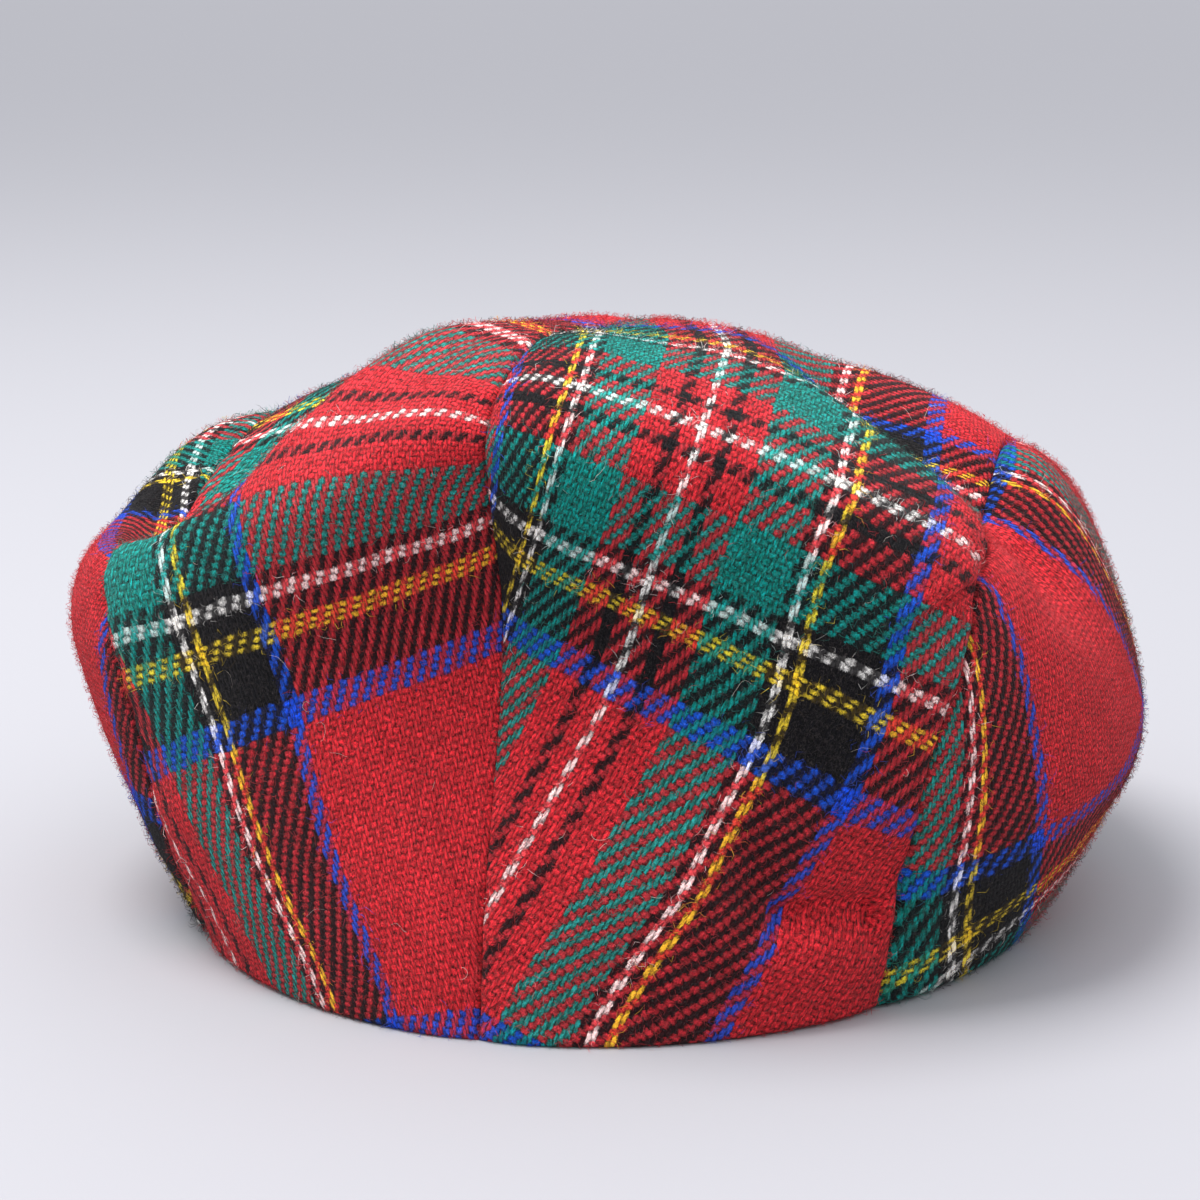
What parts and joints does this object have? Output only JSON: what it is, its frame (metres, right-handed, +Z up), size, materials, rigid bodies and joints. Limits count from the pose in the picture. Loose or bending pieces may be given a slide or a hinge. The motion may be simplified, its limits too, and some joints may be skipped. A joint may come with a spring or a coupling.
{
  "type": "flat cap",
  "caption": "Soft tartan wool flat cap with a full crown of seamed top and side panels, open below, and a short stiff peak under its front.",
  "frame": {"origin": "on the surface the cap rests on, under the middle of its box", "axes": "+Z up, +Y towards the back of the cap, the peak faces -Y, the wearer's right is -X"},
  "size_m": [0.213, 0.254, 0.1213],
  "materials": {
    "tartan_wool": "brushed wool twill in a red tartan with blue, green, black, white and yellow lines"
  },
  "bodies": {
    "root": {"top_left_panel": "tartan_wool", "top_right_panel": "tartan_wool", "side_left_panel": "tartan_wool", "side_right_panel": "tartan_wool", "peak": "tartan_wool"}
  },
  "joints": []
}
